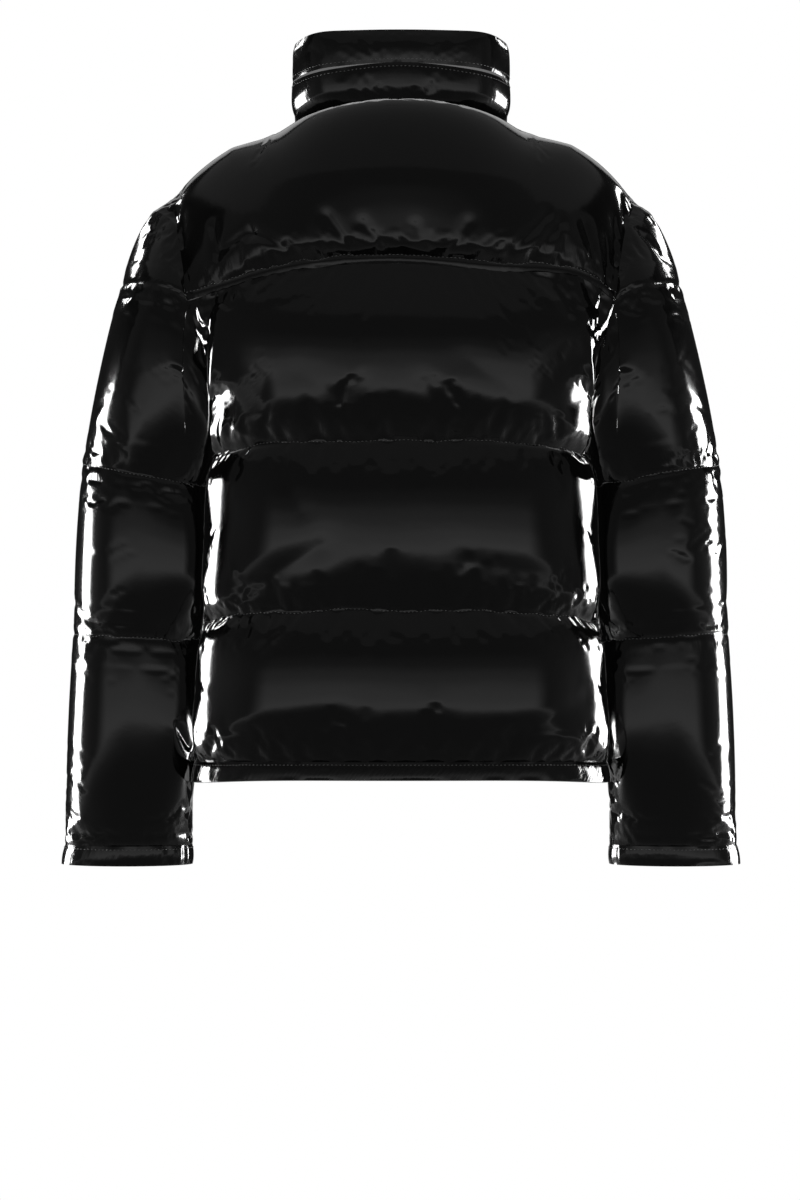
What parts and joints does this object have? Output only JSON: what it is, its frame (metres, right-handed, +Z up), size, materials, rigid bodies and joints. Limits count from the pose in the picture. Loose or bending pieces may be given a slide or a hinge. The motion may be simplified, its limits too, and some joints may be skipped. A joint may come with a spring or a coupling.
{
  "type": "puffer jacket",
  "caption": "Hip-length puffer jacket, quilted across in wide puffs, with a padded stand collar and a full front zip, hollow and filled out as worn.",
  "frame": {"origin": "middle of the neck at the height of the shoulders, where the wearer's neck and shoulders carry the jacket", "axes": "+Z up, the jacket's front faces -Y, +X is the wearer's left"},
  "size_m": [0.6848, 0.3078, 0.8327],
  "materials": {
    "shell": "high-gloss coated nylon, black",
    "trim": "folded binding and woven tape, black",
    "zip": "satin moulded teeth, black",
    "metal": "black plated, smooth"
  },
  "bodies": {
    "jacket": {"back_yoke": "shell", "back_panel": "shell", "front_left": "shell", "front_right": "shell", "sleeve_cap_left": "shell", "sleeve_cap_right": "shell", "sleeve_left": "shell", "sleeve_right": "shell", "collar_lower": "shell", "collar_upper": "shell", "hem_band": "trim", "cuff_left": "trim", "cuff_right": "trim", "zip_tape_left": "trim", "zip_tape_right": "trim", "zip_chain": "zip", "zip_slider": "metal"},
    "pull": {"zip_pull": "metal"}
  },
  "joints": [
    {"name": "pull_swing", "type": "hinge", "parent": "jacket", "child": "pull", "pos_m": [0, -0.08077, 0.02602], "axis": [-1, 0, 0], "range_deg": [0, 175]}
  ]
}
